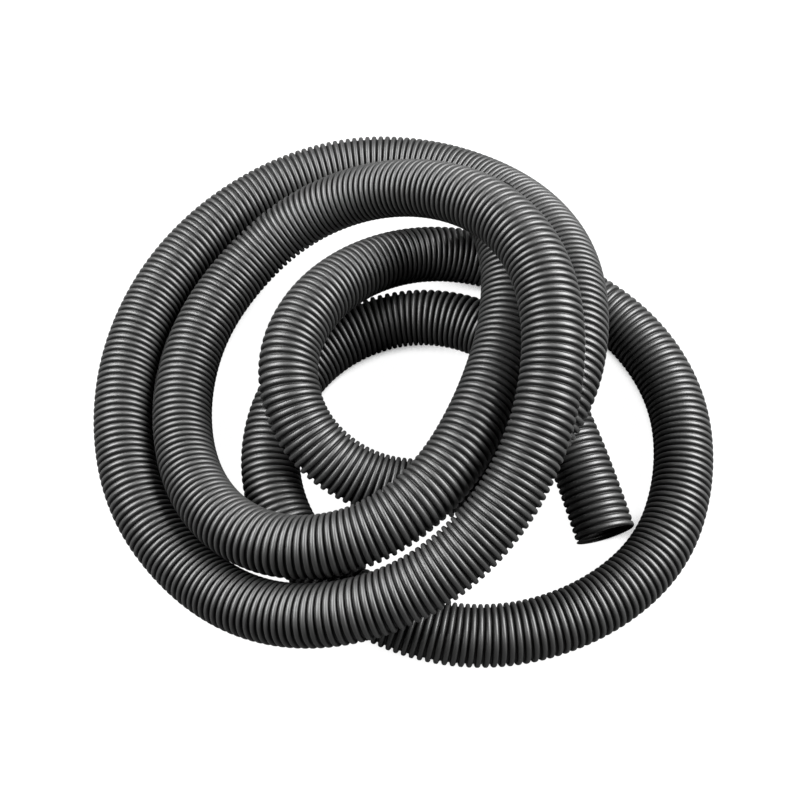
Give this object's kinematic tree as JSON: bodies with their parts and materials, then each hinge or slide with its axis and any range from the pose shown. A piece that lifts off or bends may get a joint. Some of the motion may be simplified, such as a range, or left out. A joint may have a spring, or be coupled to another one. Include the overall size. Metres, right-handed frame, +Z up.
{
  "type": "corrugated hose",
  "caption": "Bare flexible corrugated suction hose with open, square-cut ends, lying in loose uneven turns on a flat surface.",
  "frame": {"origin": "centre of the bounding box in plan, on the flat surface that the hose lies on", "axes": "+Z up; +X to the right across the turns, seen from the side where the open mouth points; +Y away from that side"},
  "size_m": [0.4907, 0.4743, 0.1635],
  "materials": {
    "hose_wall": "charcoal semi-gloss moulded plastic"
  },
  "bodies": {
    "root": {"mouth_end": "hose_wall", "floor_arch": "hose_wall", "floor_left": "hose_wall", "floor_right": "hose_wall", "loop_climb": "hose_wall", "loop_left": "hose_wall", "loop_return": "hose_wall", "outer_back": "hose_wall", "outer_left": "hose_wall", "outer_front": "hose_wall", "bridge_right": "hose_wall", "upper_back": "hose_wall", "upper_front": "hose_wall", "upper_return": "hose_wall", "tail_end": "hose_wall"}
  },
  "joints": []
}
